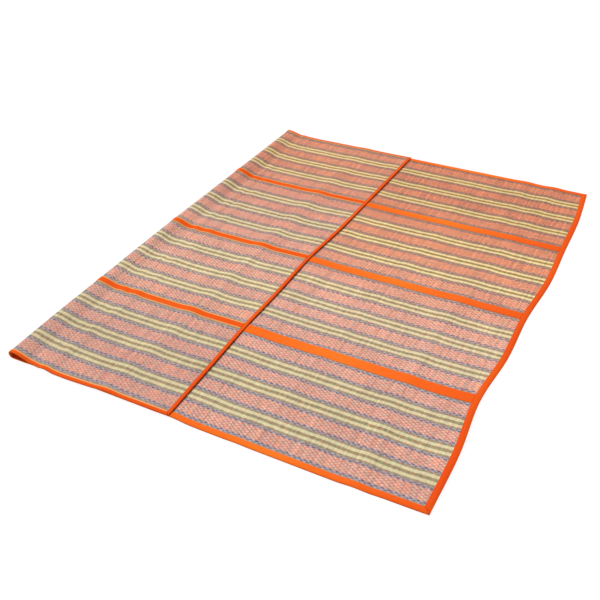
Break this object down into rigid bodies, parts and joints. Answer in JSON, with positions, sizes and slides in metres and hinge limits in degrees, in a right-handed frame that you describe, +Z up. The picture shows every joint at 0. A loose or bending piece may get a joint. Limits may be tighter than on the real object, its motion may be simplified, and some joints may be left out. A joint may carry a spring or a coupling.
{
  "type": "folded woven grass floor mat",
  "caption": "Striped woven grass floor mat of joined panels with orange cloth bands and binding, lying with its end folded over on top.",
  "frame": {"origin": "bottom centre of the folded mat's bounding box, on the floor", "axes": "+X along the stripes from the fold to the right-hand edge, +Y from the near edge to the far edge across the panels, +Z up"},
  "size_m": [1.4114, 1.8066, 0.034],
  "materials": {
    "woven_grass": "dyed grass stems woven in stripes, slight sheen",
    "orange_cloth": "matte bright orange cotton tape"
  },
  "bodies": {
    "root": {"near_panel": "woven_grass", "near_middle_panel": "woven_grass", "far_middle_panel": "woven_grass", "far_panel": "woven_grass", "near_joining_band": "orange_cloth", "middle_joining_band": "orange_cloth", "far_joining_band": "orange_cloth", "near_edge_binding": "orange_cloth", "far_edge_binding": "orange_cloth", "right_edge_binding": "orange_cloth", "flap_edge_binding": "orange_cloth"}
  },
  "joints": []
}
